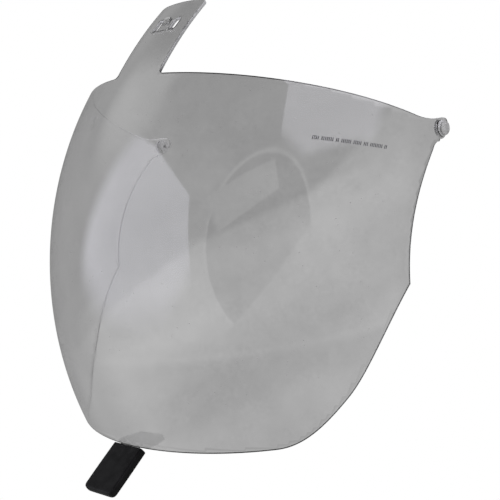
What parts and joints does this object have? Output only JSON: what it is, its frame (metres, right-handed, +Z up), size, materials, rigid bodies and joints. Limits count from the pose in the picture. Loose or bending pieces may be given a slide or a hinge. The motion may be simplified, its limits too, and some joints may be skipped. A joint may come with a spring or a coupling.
{
  "type": "face shield visor",
  "caption": "Clear wrap-around face shield visor with a slotted top tongue, pivot ears and a black chin grip.",
  "frame": {"origin": "middle of the line through the two ear pivots, where the helmet holds the visor", "axes": "+X to the wearer's left along the pivot line, +Z up, the face looks along -Y"},
  "size_m": [0.2428, 0.1487, 0.2659],
  "materials": {
    "clear_polycarbonate": "clear with a light smoke tint, polished",
    "black_vinyl": "satin black dipped vinyl",
    "pivot_nylon": "natural translucent moulded nylon, satin"
  },
  "bodies": {
    "pivots": {"pivot_bush_left": "pivot_nylon", "pivot_cap_left": "pivot_nylon", "pivot_bush_right": "pivot_nylon", "pivot_cap_right": "pivot_nylon"},
    "visor": {"visor_lens": "clear_polycarbonate", "chin_grip": "black_vinyl"}
  },
  "joints": [
    {"name": "visor_flip", "type": "hinge", "parent": "pivots", "child": "visor", "pos_m": [0, 0, 0], "axis": [-1, 0, 0], "range_deg": [0, 70]}
  ]
}
